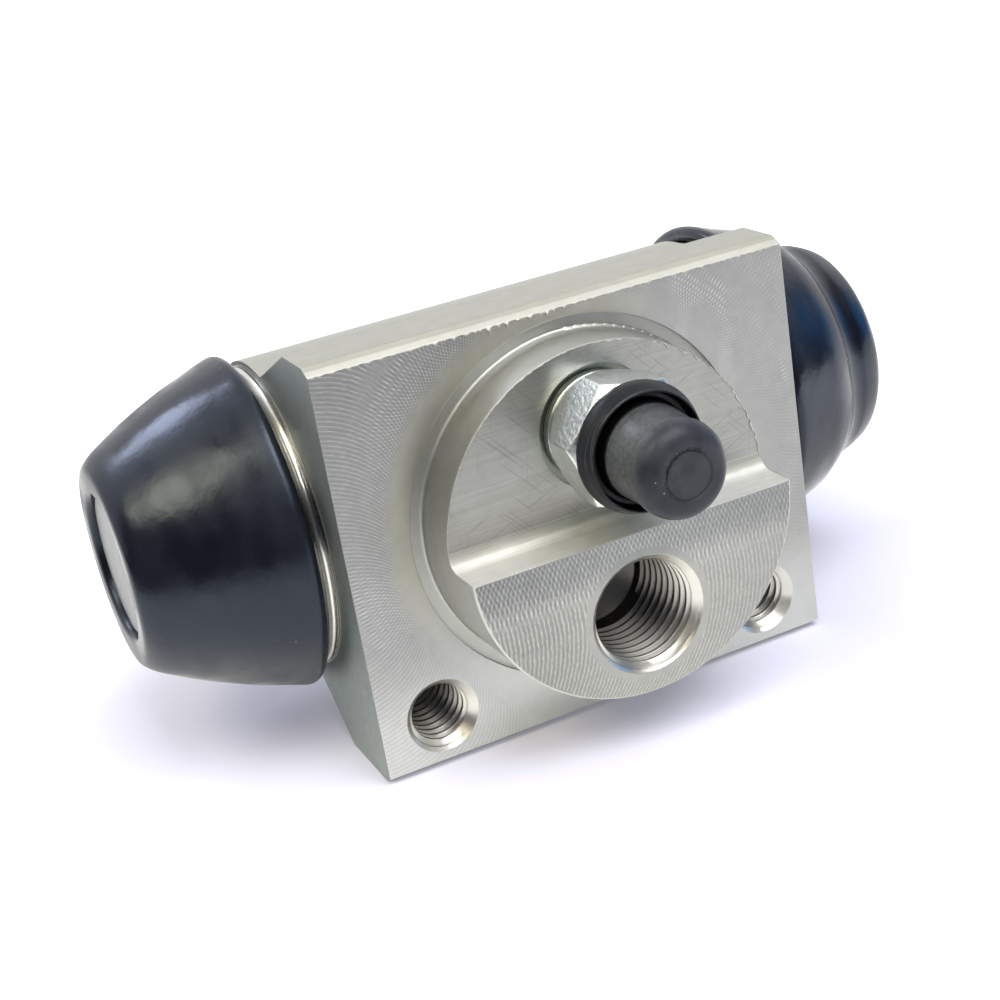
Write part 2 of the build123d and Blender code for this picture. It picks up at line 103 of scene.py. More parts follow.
class Graph:
    """Adds nodes to one node tree and links them."""

    def __init__(self, tree: bpy.types.NodeTree) -> None:
        """Keeps the tree that the nodes go into."""
        self.tree = tree

    def feed(self, socket: Socket, value: Value) -> None:
        """Links a socket to another, or sets its number.

        Args:
            socket: The input that is fed.
            value: An output to link, or a number or vector to set.
        """
        if isinstance(value, Socket):
            self.tree.links.new(value, socket)
        else:
            socket.default_value = value

    def node(
        self, kind: str, inputs: dict[str | int, Value] | None = None, **settings: object
    ) -> bpy.types.Node:
        """Makes a node.

        Args:
            kind: Blender's name for the node type.
            inputs: Values for its sockets, by name or number.
            settings: Properties of the node itself.

        Returns:
            The new node.
        """
        made = self.tree.nodes.new(kind)
        for key, value in settings.items():
            setattr(made, key, value)
        for key, value in (inputs or {}).items():
            self.feed(made.inputs[key], value)
        return made

    def math(self, operation: str, *values: Value, clamp: bool = False) -> Socket:
        """The result of a Math node on one to three values."""
        made = self.node("ShaderNodeMath", dict(enumerate(values)), operation=operation, use_clamp=clamp)
        return made.outputs[0]

    def product(self, *values: Value) -> Socket:
        """The product of several values, and so the overlap of several masks."""
        return reduce(lambda made, value: self.math("MULTIPLY", made, value), values)

    def widest(self, *values: Value) -> Socket:
        """The largest of several values, and so the union of several masks."""
        return reduce(lambda made, value: self.math("MAXIMUM", made, value), values)

    def total(self, *terms: tuple[Value, ...]) -> Socket:
        """The sum of several terms, each the product of its values, the last of which is its weight."""
        pairs = [(self.product(*term[:-1]), term[-1]) for term in terms]
        return reduce(lambda made, pair: self.math("MULTIPLY_ADD", *pair, made), pairs, 0.0)

    def minus(self, first: Value, second: Value) -> Socket:
        """One value less another."""
        return self.math("SUBTRACT", first, second)

    def inverse(self, value: Value) -> Socket:
        """One less a value, and so the rest of a mask."""
        return self.minus(1.0, value)

    def below(self, value: Value, limit: Value) -> Socket:
        """1 where a value is under a limit, else 0."""
        return self.math("LESS_THAN", value, limit)

    def near(self, value: Value, target: float, within: float = 0.03) -> Socket:
        """1 where a value is within a small distance of a target, else 0."""
        return self.math("COMPARE", value, target, within)

    def vector(self, operation: str, *values: Value) -> Socket:
        """The result of a Vector Math node, a number for length, distance and dot product."""
        made = self.node("ShaderNodeVectorMath", dict(enumerate(values)), operation=operation)
        return made.outputs["Value" if operation in ("LENGTH", "DISTANCE", "DOT_PRODUCT") else "Vector"]

    def scaled(self, vector: Value, factor: Value) -> Socket:
        """A vector times a number."""
        return self.node("ShaderNodeVectorMath", {0: vector, "Scale": factor}, operation="SCALE").outputs[0]

    def ramp(
        self, value: Value, low: float, high: float, to_low: Value = 0.0, to_high: Value = 1.0
    ) -> Socket:
        """A smooth step of a value.

        Args:
            value: What is read.
            low: Where the step starts.
            high: Where it ends.
            to_low: The result before the start.
            to_high: The result past the end.

        Returns:
            The stepped value.
        """
        limits = {"From Min": low, "From Max": high, "To Min": to_low, "To Max": to_high}
        made = self.node("ShaderNodeMapRange", {"Value": value, **limits}, interpolation_type="SMOOTHSTEP")
        return made.outputs[0]

    def mix(self, factor: Value, first: Value, second: Value, blend: str = "MIX") -> Socket:
        """A mix of two colours."""
        inputs = {0: factor, 6: first, 7: second}
        return self.node("ShaderNodeMix", inputs, data_type="RGBA", blend_type=blend).outputs[2]

    def layered(self, colour: Value, *layers: tuple[Value, ...]) -> Socket:
        """A colour with others laid over it, each given with the masks whose product it takes."""
        return reduce(lambda made, layer: self.mix(self.product(*layer[1:]), made, layer[0]), layers, colour)

    def noise(self, vector: Value, scale: Value, detail: float = 2.0, roughness: float = 0.5) -> Socket:
        """A noise texture's value, about 0.5 on average."""
        inputs = {"Vector": vector, "Scale": scale, "Detail": detail, "Roughness": roughness}
        return self.node("ShaderNodeTexNoise", inputs).outputs["Fac"]

    def mapping(
        self, vector: Value, shift: Value = ORIGIN, turn: Value = ORIGIN, scale: Value = (1.0, 1.0, 1.0)
    ) -> Socket:
        """A vector moved, turned and scaled by a Mapping node."""
        inputs = {"Vector": vector, "Location": shift, "Rotation": turn, "Scale": scale}
        return self.node("ShaderNodeMapping", inputs).outputs[0]

    def parts(self, vector: Value) -> tuple[Socket, Socket, Socket]:
        """A vector's three components."""
        return tuple(self.node("ShaderNodeSeparateXYZ", {0: vector}).outputs)

    def joined(self, x: Value, y: Value, z: Value) -> Socket:
        """A vector of three components."""
        return self.node("ShaderNodeCombineXYZ", {0: x, 1: y, 2: z}).outputs[0]


def emptied(owner: Material | bpy.types.World) -> Graph:
    """The graph of a material or world, with no nodes in it."""
    owner.use_nodes = True
    owner.node_tree.nodes.clear()
    return Graph(owner.node_tree)


class Effect:
    """A shader node group that several finishes share, built once."""

    def __init__(self, name: str, **inputs: Value) -> None:
        """Opens a new group.

        Args:
            name: The group's name.
            inputs: Its inputs with their defaults; a tuple makes a vector socket.
        """
        self.graph = Graph(bpy.data.node_groups.new(name, "ShaderNodeTree"))
        for key, value in inputs.items():
            self.socket(spaced(key), "INPUT", isinstance(value, tuple)).default_value = value
        self.inputs = tuple(self.graph.node("NodeGroupInput").outputs)[:len(inputs)]

    def socket(self, name: str, side: str, is_vector: bool) -> bpy.types.NodeTreeInterfaceSocket:
        """Adds a socket for a vector or a number to one side of the group."""
        kind = "NodeSocketVector" if is_vector else "NodeSocketFloat"
        return self.graph.tree.interface.new_socket(name, in_out=side, socket_type=kind)

    def give(self, **outputs: Value) -> None:
        """Adds the group's outputs, each a number unless its name is Normal."""
        for key in outputs:
            self.socket(key, "OUTPUT", key == "Normal")
        self.graph.node("NodeGroupOutput", outputs)


def scallops(g: Graph, turns: Value) -> Socket:
    """Height of the cusps that a cutter leaves, 1 at each whole turn and 0 between them."""
    centred = g.math("MULTIPLY_ADD", g.math("FRACT", turns), 2.0, -1.0)
    return g.math("POWER", g.math("ABSOLUTE", centred), 2.6)


def ring_milling() -> None:
    """Marks ahead of and behind an end mill whose centre runs round the origin in the XZ plane."""
    effect = Effect("Ring milling", point=ORIGIN, cutter_radius=8.0, path_radius=24.0, marks=360.0)
    g, (point, cutter, path, marks) = effect.graph, effect.inputs
    x, _, z = g.parts(point)
    squared = g.math("ADD", g.product(x, x), g.product(z, z))
    swept = g.minus(g.product(path, path), g.product(cutter, cutter))
    doubled = g.product(g.math("SQRT", squared), path, 2.0)
    cosine = g.math("DIVIDE", g.math("ADD", squared, swept), doubled)
    spread = g.math("ARCCOSINE", g.math("MINIMUM", cosine, 0.99999))
    unsteady = g.noise(point, 1.4)
    heading = g.math("MULTIPLY_ADD", unsteady, 0.006, g.math("ARCTAN2", z, x))
    rate = g.math("DIVIDE", marks, TURN)
    ahead = g.product(g.math("ADD", heading, spread), rate)
    behind = g.product(g.minus(heading, spread), rate)
    effect.give(Ahead=scallops(g, ahead), Behind=scallops(g, behind))


def line_milling() -> None:
    """Marks ahead of and behind an end mill whose centre runs along X at one height."""
    effect = Effect("Line milling", point=ORIGIN, cutter_radius=12.0, path_height=-6.2, pitch=0.4)
    g, (point, cutter, height, pitch) = effect.graph, effect.inputs
    x, _, z = g.parts(point)
    x = g.total((x, 1.0), (g.noise(point, 1.6), 0.22))
    off = g.minus(z, height)
    squared = g.minus(g.product(cutter, cutter), g.product(off, off))
    bow = g.math("SQRT", g.math("MAXIMUM", squared, 0.0))
    ahead = g.math("DIVIDE", g.minus(x, bow), pitch)
    behind = g.math("DIVIDE", g.math("ADD", x, bow), pitch)
    effect.give(Ahead=scallops(g, ahead), Behind=scallops(g, behind))


def brushing() -> None:
    """Fine parallel lines along the point's X, and a broader change of tone along them."""
    effect = Effect("Brushing", point=ORIGIN, fineness=6.0, length=0.12)
    g, (point, fineness, length) = effect.graph, effect.inputs
    fine = g.joined(length, fineness, fineness)
    lines = g.noise(g.vector("MULTIPLY", point, fine), 1.0, 3.0, 0.6)
    broad = g.vector("MULTIPLY", point, g.scaled(fine, 0.22))
    effect.give(Height=lines, Tone=g.noise(broad, 1.0))


def turning() -> None:
    """Height of the rings that a lathe tool or drill leaves, read along one distance."""
    effect = Effect("Turning", distance=0.0, pitch=0.2)
    g, (distance, pitch) = effect.graph, effect.inputs
    steps = g.math("DIVIDE", distance, pitch)
    wave = g.math("SINE", g.product(steps, TURN))
    uneven = g.noise(g.joined(g.product(steps, 0.45), 0.0, 0.0), 1.0, 3.0, 0.6)
    effect.give(Height=g.math("MULTIPLY_ADD", wave, 0.22, uneven))


def clouding() -> None:
    """Soft patches of tone from 0 to 1, which change slowly over the surface."""
    effect = Effect("Clouding", point=ORIGIN, patch=6.0)
    g, (point, patch) = effect.graph, effect.inputs
    shrunk = g.scaled(point, g.math("DIVIDE", 1.0, patch))
    effect.give(Tone=g.ramp(g.noise(shrunk, 1.0, 3.0, 0.55), 0.3, 0.7))


def specks() -> None:
    """A mask of sparse small specks of dust or lint."""
    effect = Effect("Specks", point=ORIGIN, spacing=1.6, size=0.07, share=0.3)
    g, (point, spacing, size, share) = effect.graph, effect.inputs
    shrunk = g.scaled(point, g.math("DIVIDE", 1.0, spacing))
    cells = g.node("ShaderNodeTexVoronoi", {"Vector": shrunk, "Scale": 1.0}).outputs
    kept = g.below(g.parts(cells["Color"])[0], share)
    small = g.math("DIVIDE", size, spacing)
    effect.give(Mask=g.product(kept, g.below(cells["Distance"], small)))


def scratches() -> None:
    """A mask of sparse fine scratches that run several ways over a face in the XZ plane."""
    effect = Effect("Scratches", point=ORIGIN, thinness=6.0)
    g, (point, thinness) = effect.graph, effect.inputs
    found: Value = 0.0
    for turn, shift in ((82.0, 0.0), (-48.0, 17.0), (24.0, 41.0)):
        turned = g.mapping(point, (shift, shift, 0.0), (0.0, radians(turn), 0.0))
        fine = g.vector("MULTIPLY", turned, g.joined(0.09, 0.2, thinness))
        lines = g.ramp(g.noise(fine, 1.0, 0.0), 0.66, 0.76)
        patches = g.ramp(g.noise(g.scaled(turned, 0.35), 1.0, 1.0), 0.42, 0.6)
        found = g.widest(found, g.product(lines, patches))
    effect.give(Mask=found)


def soft_edges() -> None:
    """The normal with its sharp edges rounded, and a mask that is 1 where an edge is worn."""
    effect = Effect("Soft edges", radius=0.12)
    g, (radius,) = effect.graph, effect.inputs
    rounded = g.node("ShaderNodeBevel", {"Radius": g.product(radius, MM)}, samples=4).outputs[0]
    flat = g.node("ShaderNodeNewGeometry").outputs["Normal"]
    lean = g.inverse(g.vector("DOT_PRODUCT", rounded, flat))
    effect.give(Normal=rounded, Wear=g.ramp(lean, 0.01, 0.16))


class Finish:
    """A material under way: its graph, its shader and the point in millimetres."""

    def __init__(self, name: str, **numbers: float | Colour) -> None:
        """Starts a material.

        Args:
            name: The material's name.
            numbers: Values set on the shader's own sockets, with underscores for spaces.
        """
        self.material = bpy.data.materials.new(name)
        self.graph = emptied(self.material)
        values = {spaced(key): value for key, value in numbers.items()}
        self.shader = self.graph.node("ShaderNodeBsdfPrincipled", values)
        self.graph.node("ShaderNodeOutputMaterial", {0: self.shader.outputs[0]})
        place = self.graph.node("ShaderNodeTexCoord").outputs["Object"]
        self.point = self.graph.scaled(place, 1 / MM)

    def effect(self, name: str, **inputs: Value) -> bpy.types.NodeOutputs:
        """Places one of the shared effects.

        Args:
            name: The effect's name.
            inputs: Values for its inputs, with underscores for spaces; its point is the surface's
                own unless it is given.

        Returns:
            The effect's outputs.
        """
        made = self.graph.node("ShaderNodeGroup", node_tree=bpy.data.node_groups[name])
        if "Point" in made.inputs:
            inputs = {"point": self.point, **inputs}
        for key, value in inputs.items():
            self.graph.feed(made.inputs[spaced(key)], value)
        return made.outputs

    def close(self, colour: Value, roughness: Value, height: Value, normal: Value) -> Material:
        """Links the surface's values to the shader.

        Args:
            colour: The base colour.
            roughness: The roughness.
            height: The relief in millimetres.
            normal: The normal that the relief lies on.

        Returns:
            The finished material.
        """
        relief = {"Height": height, "Distance": MM, "Strength": 1.0, "Normal": normal}
        bump = self.graph.node("ShaderNodeBump", relief).outputs[0]
        for key, value in (("Base Color", colour), ("Roughness", roughness), ("Normal", bump)):
            self.graph.feed(self.shader.inputs[key], value)
        return self.material


class BodyZones:
    """Masks that are 1 on one kind of the body's faces, and the distances that their marks follow."""

    def __init__(self, g: Graph, point: Socket) -> None:
        """Works out the masks.

        Args:
            g: The material's graph.
            point: The surface point in millimetres.
        """
        x, y, z = self.x, self.y, self.z = g.parts(point)
        facing = g.below(g.parts(g.node("ShaderNodeNewGeometry").outputs["Normal"])[1], -0.9)
        off_axis = g.math("ABSOLUTE", x)
        level = g.joined(x, 0.0, z)
        self.reach = g.vector("LENGTH", level)
        self.from_port = g.vector("DISTANCE", level, (0.0, 0.0, PORT_Z))
        self.from_bleeder = g.vector("DISTANCE", level, (0.0, 0.0, BLEEDER_Z))
        self.from_bore = g.vector("DISTANCE", g.joined(0.0, y, z), BORE)
        from_screw = g.vector("DISTANCE", g.joined(off_axis, 0.0, z), (SCREW_X, 0.0, SCREW_Z))
        from_feed = g.vector("DISTANCE", level, (-1.2, 0.0, -6.4))
        self.out = g.minus(off_axis, END_X)
        self.face, self.groove, self.moon, self.pad = (
            g.product(g.near(y, height), facing) for height in (FACE_Y, GROOVE_Y, MOON_Y, PAD_Y)
        )
        self.end = g.near(self.out, 0.0)
        self.neck = g.math("GREATER_THAN", self.out, 0.04)
        side = g.product(g.near(self.reach, BOSS_RADIUS - 0.04, 0.2), g.below(y, 0.44))
        self.boss_side = g.product(side, g.inverse(facing))

        def inside(distance: Socket, radius: float, low: float, high: float) -> Socket:
            """1 within a radius of an axis along Y and between two levels, else 0."""
            return g.product(g.below(distance, radius), g.near(y, (low + high) / 2, (high - low) / 2))

        self.step = g.product(g.near(y, -6.9, 2.24), g.below(self.reach, BOSS_RADIUS), g.near(z, 0.45, 0.8))
        in_port = inside(self.from_port, 5.22, -9.13, 2.53)
        in_screw = inside(from_screw, 3.34, 0.01, 8.79)
        feed = inside(from_feed, 1.36, 0.5, 7.5)
        self.spot = inside(self.from_bleeder, 5.32, -4.64, 4.64)
        self.hole = g.widest(in_port, in_screw, self.spot, feed)
        # Painted shade: the port, the fixing holes and the feed hole get darker with depth
        port_shade = g.product(in_port, g.ramp(y, -8.8, -3.0, 0.0, 0.62))
        self.depth = g.widest(feed, port_shade, g.product(in_screw, g.ramp(y, 0.3, 6.0, 0.0, 0.7)))
        cut = (self.face, self.groove, self.moon, self.pad, self.end, self.neck)
        self.skin = g.inverse(g.widest(*cut, self.boss_side, self.step, self.hole))
        top = g.product(self.skin, g.ramp(z, 16.0, 16.5))
        self.facet = g.product(top, g.near(y, 0.3, 0.33))
        self.strip = g.product(top, g.near(y, 1.2, 0.57))
        self.milled_ring = g.product(self.face, g.ramp(self.reach, 16.6, 19.0))
        self.milled_pad = g.product(self.pad, g.ramp(self.from_port, 5.7, 6.0))


@dataclass(frozen=True)
class BodyAluminium:
    """Extruded aluminium with milled, turned and drilled faces, told apart by where they lie."""

    face: Colour = (0.362, 0.368, 0.37, 1)
    face_left: Colour = (0.395, 0.402, 0.412, 1)
    beige: Colour = (0.43, 0.425, 0.37, 1)
    moon: Colour = (0.355, 0.362, 0.352, 1)
    # Colour of the half-moon's lower left, where a shadow of the bleeder is painted
    moon_low: Colour = (0.33, 0.325, 0.312, 1)
    pad: Colour = (0.39, 0.393, 0.385, 1)
    pad_top: Colour = (0.265, 0.274, 0.28, 1)
    groove: Colour = (0.34, 0.348, 0.336, 1)
    boss_side: Colour = (0.56, 0.565, 0.54, 1)
    wall: Colour = (0.70, 0.70, 0.68, 1)
    fillet: Colour = (0.48, 0.485, 0.45, 1)
    skin: Colour = (0.52, 0.52, 0.475, 1)
    facet: Colour = (0.60, 0.60, 0.555, 1)
    end: Colour = (0.275, 0.305, 0.31, 1)
    bright: Colour = (0.74, 0.73, 0.69, 1)
    spot: Colour = (0.30, 0.33, 0.29, 1)
    strip: Colour = (0.50, 0.50, 0.44, 1)
    # Dark of the painted shade in the holes and on the neck, and of the half-moon's scratches
    deep: Colour = (0.05, 0.041, 0.034, 1)

    def face_marks(self, finish: Finish, zones: BodyZones) -> tuple[Socket, Socket]:
        """Crossing marks of the face mill, strongest at the left.

        Args:
            finish: The material under way.
            zones: The body's masks.

        Returns:
            The marks and the glints that a few of them throw at the right.
        """
        g, x, z = finish.graph, zones.x, zones.z
        ring = finish.effect("Ring milling", marks=384.0)
        fainter = g.ramp(g.math("MULTIPLY_ADD", z, -0.35, x), -8.0, 4.0, 1.0, 0.22)
        first = g.product(ring["Ahead"], g.ramp(z, -11.0, -1.0))
        crossing = g.product(g.ramp(x, -20.5, -14.5), 0.8)
        second = g.product(ring["Behind"], g.widest(g.ramp(z, 3.0, -5.0), crossing))
        marks = g.total((first, 0.7), (second, 0.7), (first, second, 1.6))
        patches = g.noise(g.mapping(finish.point, scale=(0.3, 0.0, 0.16)), 1.0, 0.0)
        glints = g.product(ring["Ahead"], ring["Behind"], g.ramp(patches, 0.56, 0.66))
        glints = g.product(glints, zones.face, g.ramp(x, 4.0, 11.0), g.ramp(z, 1.0, 6.0))
        uneven = g.ramp(g.noise(finish.point, 1.8), 0.3, 0.7, 0.65, 1.25)
        return g.product(marks, uneven, zones.milled_ring, fainter), glints

    def pad_marks(self, finish: Finish, zones: BodyZones) -> Socket:
        """Marks of the end mill that cut the boss's lower half in straight passes.

        Args:
            finish: The material under way.
            zones: The body's masks.

        Returns:
            The marks' height.
        """
        g = finish.graph
        line = finish.effect("Line milling")
        crossing = g.ramp(zones.z, -5.6, -3.6, 0.12, 1.0)
        marks = g.math("ADD", line["Ahead"], g.product(line["Behind"], crossing))
        uneven = g.ramp(g.noise(finish.point, 2.4), 0.3, 0.7, 0.6, 1.25)
        return g.product(marks, uneven, zones.milled_pad, g.ramp(zones.x, 0.0, 14.0, 1.0, 0.65))

    def build(self) -> Material:
        """Makes the body's material.

        Returns:
            The material, with one zone for each way the faces were cut.
        """
        finish = Finish("body_aluminium", metallic=1.0)
        g, point = finish.graph, finish.point
        zones = BodyZones(g, point)
        x, y, z = zones.x, zones.y, zones.z
        face_marks, glints = self.face_marks(finish, zones)
        pad_marks = self.pad_marks(finish, zones)

        brush = finish.effect("Brushing", fineness=5.0, length=0.1)
        fine_brush = finish.effect("Brushing", fineness=11.0, length=0.16)["Height"]
        turned = g.mapping(point, turn=(0.0, radians(90), 0.0))
        upright = finish.effect("Brushing", point=turned, fineness=9.0, length=0.5)["Height"]
        ways = ((zones.from_bleeder, 0.34), (zones.from_bore, 0.42), (x, 0.16), (y, 0.25))
        rings, end_rings, neck_rings, hole_rings = (
            finish.effect("Turning", distance=distance, pitch=pitch)["Height"] for distance, pitch in ways
        )
        clouds = finish.effect("Clouding", patch=7.0)["Tone"]
        small_clouds = finish.effect("Clouding", patch=1.3)["Tone"]
        scratch = finish.effect("Scratches")["Mask"]
        hatch = g.ramp(g.noise(g.mapping(point, scale=(0.0, 4.5, 0.9)), 1.0, 1.0), 0.58, 0.7)
        edges = finish.effect("Soft edges", radius=0.13)

        ring_fade = g.product(zones.moon, g.ramp(zones.from_bleeder, 8.0, 5.4))
        relief = g.total(
            (face_marks, 0.010),
            (pad_marks, 0.014),
            (brush["Height"], zones.moon, 0.004),
            (fine_brush, zones.step, 0.02),
            (upright, zones.step, 0.014),
            (rings, ring_fade, 0.006),
            (end_rings, zones.end, 0.008),
            (neck_rings, zones.neck, 0.003),
            (hole_rings, g.widest(zones.hole, zones.boss_side), 0.004),
            (fine_brush, zones.skin, 0.008),
        )

        cloudy = g.math("MULTIPLY_ADD", clouds, 0.4, 0.7, clamp=True)
        upper_left = g.ramp(g.minus(z, x), 2.0, 16.0)
        face = g.layered(
            self.face,
            (self.face_left, g.ramp(x, 2.0, -16.0), cloudy),
            (self.beige, g.ramp(zones.reach, 19.5, 16.5), upper_left, 0.8),
        )
        pad = g.mix(g.ramp(z, -5.0, -2.0), self.pad, self.pad_top)
        # Mix of the half-moon's brushing tone and a painted shadow of the bleeder, darker towards its lower
        # left
        moon_brushing_and_shadow = g.total((brush["Tone"], 0.35), (g.ramp(z, 6.0, 1.5), g.ramp(x, 8.0, -4.0), 0.6))
        moon = g.mix(moon_brushing_and_shadow, self.moon, self.moon_low)
        step = g.mix(g.ramp(z, 0.3, 0.0), g.mix(g.ramp(z, 0.95, 1.15), self.fillet, self.wall), self.wall)
        # Painted shade: two dark bands on the neck, one next to the end face and one next to the boot
        neck_shade_bands = g.widest(g.near(zones.out, 0.14, 0.12), g.near(zones.out, 1.2, 0.22))
        colour = g.layered(
            face,
            (self.skin, zones.skin),
            (self.facet, zones.facet),
            (self.strip, zones.strip),
            (self.groove, zones.groove),
            (self.boss_side, zones.boss_side),
            (moon, zones.moon),
            (pad, zones.pad),
            (step, zones.step),
            (self.end, zones.end),
            (g.layered(self.bright, (self.deep, neck_shade_bands, 0.8)), zones.neck),
            # Holes: bright metal, a darker spot face and painted shade with depth
            (g.layered(self.bright, (self.spot, zones.spot), (self.deep, zones.depth)), zones.hole),
            (self.deep, scratch, zones.moon, 0.19),
            (self.bright, edges["Wear"], g.inverse(zones.depth), 0.7),
        )
        lines, streaks = g.minus(brush["Height"], 0.5), g.minus(fine_brush, 0.5)
        tone = g.math("ADD", 0.96, g.total(
            (small_clouds, 0.06),
            (face_marks, 0.44),
            (pad_marks, 0.55),
            # Painted light: the mounting face lighter towards its bottom, against the floor's shadow that it
            # mirrors there
            (zones.face, g.ramp(z, -7.0, -17.0), 0.55),
            # Painted light: the groove round the boss lighter towards the left
            (zones.groove, g.ramp(x, 8.0, -8.0), 0.34),
            (zones.pad, g.ramp(x, -3.0, -11.0), -0.14),
            (glints, 1.0),
            (zones.milled_pad, -0.17),
            (zones.milled_ring, g.ramp(x, -7.0, 6.0, 1.0, 0.4), -0.21),
            (lines, zones.moon, 0.4),
            (streaks, zones.step, 0.5),
            (streaks, zones.skin, 0.16),
            (hatch, zones.end, 0.22),
        ))
        colour = g.mix(1.0, colour, g.joined(tone, tone, tone), "MULTIPLY")
        roughness = g.math("ADD", 0.42, g.total(
            (clouds, 0.05),
            (zones.neck, -0.24),
            (zones.hole, g.inverse(zones.spot), -0.09),
            (zones.step, 0.26),
            (zones.end, 0.10),
            (zones.facet, 0.08),
        ))
        return finish.close(colour, roughness, relief, edges["Normal"])


@dataclass(frozen=True)
class Rubber:
    """Moulded rubber with a soft bloom, faint grain and a little dust."""

    name: str
    dark: Colour
    pale: Colour
    roughness: float
    patch: float
    grain: float
    gloss: float = 0.5
    dust: float = 0.3
    dents: float = 12.0
    sheen: Colour = WHITE
    lint: Colour = (0.35, 0.35, 0.36, 1)

    def detail(self, finish: Finish, colour: Socket) -> Socket:
        """Adds what only one moulding has to the colour; a plain one has nothing."""
        return colour

    def build(self) -> Material:
        """Makes the rubber.

        Returns:
            The material.
        """
        finish = Finish(self.name, specular_IOR_level=self.gloss, specular_tint=self.sheen)
        g, point = finish.graph, finish.point
        clouds = finish.effect("Clouding", patch=self.patch)["Tone"]
        fine = g.noise(point, 9.0, 3.0, 0.6)
        smears = g.noise(g.mapping(point, scale=(0.30, 0.16, 0.16)), 1.0, 1.5, 0.45)
        speck = finish.effect("Specks", spacing=1.9, size=0.055, share=self.dust)["Mask"]
        edges = finish.effect("Soft edges", radius=0.18)
        bloom = (self.pale, g.ramp(fine, 0.45, 0.8), 0.35)
        colour = g.layered(self.dark, (self.pale, clouds), bloom, (self.lint, speck, 0.6))
        colour = self.detail(finish, colour)
        roughness = g.math("MULTIPLY_ADD", g.ramp(smears, 0.3, 0.7), 0.22, self.roughness - 0.11)
        pebbles, waves = g.noise(point, 2.4, 3.0, 0.6), g.noise(point, 0.55, 3.0)
        relief = g.total((fine, self.grain), (pebbles, self.grain * 3.0), (waves, self.grain * self.dents))
        return finish.close(colour, roughness, relief, edges["Normal"])


@dataclass(frozen=True)
class CapRubber(Rubber):
    """The bleeder cap's rubber: a scuffed black flange, painted shade in the groove by the flange and in the
    moulded ring on the end, and a side lighter with dust and painted reflection.
    """

    black: Colour = (0.0015, 0.0014, 0.0014, 1)
    scuff: Colour = (0.05, 0.05, 0.055, 1)
    film: Colour = (0.105, 0.112, 0.112, 1)

    def detail(self, finish: Finish, colour: Socket) -> Socket:
        """Darkens the flange, paints shade into the groove and into the ring on the end, and lightens the
        side with dust and painted reflection.

        Args:
            finish: The material under way.
            colour: The rubber's colour so far.

        Returns:
            The colour with these places.
        """
        g = finish.graph
        x, y, z = g.parts(finish.point)
        reach = g.vector("DISTANCE", g.joined(x, 0.0, z), (0.0, 0.0, BLEEDER_Z))
        flange = g.math("GREATER_THAN", y, -13.3)
        # Painted shade in the groove between the flange and the cap's body
        groove = g.product(g.near(reach, 4.3, 0.5), g.near(y, -12.4, 0.72))
        scuffs = g.noise(g.joined(g.product(reach, 6.0), g.product(y, 6.0), g.product(z, 0.25)), 1.0)
        side = g.product(g.ramp(y, -18.3, -16.4), g.inverse(flange), g.below(reach, 4.3))
        wiped = g.ramp(g.noise(finish.point, 2.4, 5.0, 0.7), 0.2, 0.8, 0.25, 0.95)
        front = g.below(y, -18.4)
        from_mark = g.vector("DISTANCE", g.joined(x, 0.0, z), (0.2, 0.0, 7.3))
        upper_left = g.ramp(g.minus(z, x), 6.2, 8.2)
        crumbs = g.ramp(g.noise(finish.point, 5.0), 0.42, 0.55)
        # Painted shade in the small groove round the cap's end, at its upper left only, broken up by noise
        ring = g.product(g.near(from_mark, 2.02, 0.17), front, upper_left, crumbs)
        dust = finish.effect("Specks", spacing=0.55, size=0.06, share=0.3)["Mask"]
        edge_dust = g.product(g.near(from_mark, 2.5, 0.45), front, upper_left, dust)
        return g.layered(
            colour,
            (self.black, flange, 0.7),
            (self.scuff, flange, g.ramp(scuffs, 0.52, 0.66), 0.6),
            (self.black, groove, 0.9),
            # Dust and painted reflection: the body's side lighter in patches, strongest at the left
            (self.film, side, wiped, g.ramp(x, 2.5, -3.0, 0.12, 1.0)),
            (self.black, ring, 0.9),
            (self.lint, edge_dust, 0.8),
        )


@dataclass(frozen=True)
class Metal:
    """Turned, plated or drawn metal whose marks run round or along one axis."""

    name: str
    light: Colour
    shade: Colour
    roughness: float
    centre: Place = BORE
    along: Place = (1.0, 0.0, 0.0)
    grain: Place = (0.6, 3.2, 3.2)
    pitch: float = 0.2
    depth: float = 0.003
    streaks: float = 0.3
    edge: float = 0.12
    roughened: float = 1.6
    collar_radius: float = -1.0
    worn: Colour = (0.92, 0.92, 0.9, 1)
    dull: Colour = (0.2, 0.22, 0.22, 1)

    def build(self) -> Material:
        """Makes the metal.

        Returns:
            The material.
        """
        finish = Finish(self.name, metallic=1.0)
        g, point = finish.graph, finish.point
        moved = g.vector("SUBTRACT", point, self.centre)
        forward = g.vector("DOT_PRODUCT", moved, self.along)
        across = g.vector("LENGTH", g.vector("SUBTRACT", moved, g.scaled(self.along, forward)))
        travelled = g.math("ADD", forward, across)
        rings = finish.effect("Turning", distance=travelled, pitch=self.pitch)["Height"]
        clouds = finish.effect("Clouding", patch=1.2)["Tone"]
        scuffs = g.noise(g.vector("MULTIPLY", point, self.grain), 1.0, 3.0, 0.55)
        edges = finish.effect("Soft edges", radius=self.edge)
        collar = g.near(across, self.collar_radius, 0.12)
        colour = g.layered(
            self.light,
            (self.shade, clouds, 0.5),
            (self.shade, g.ramp(scuffs, 0.48, 0.7), self.streaks),
            (self.worn, edges["Wear"], 0.8),
            (self.dull, collar, g.ramp(rings, 0.5, 0.7), 0.7),
        )
        roughness = g.math("MULTIPLY_ADD", scuffs, 0.2, self.roughness - 0.1)
        relief = g.total((rings, self.depth), (scuffs, self.depth * self.roughened), (rings, collar, 0.08))
        return finish.close(colour, roughness, relief, edges["Normal"])


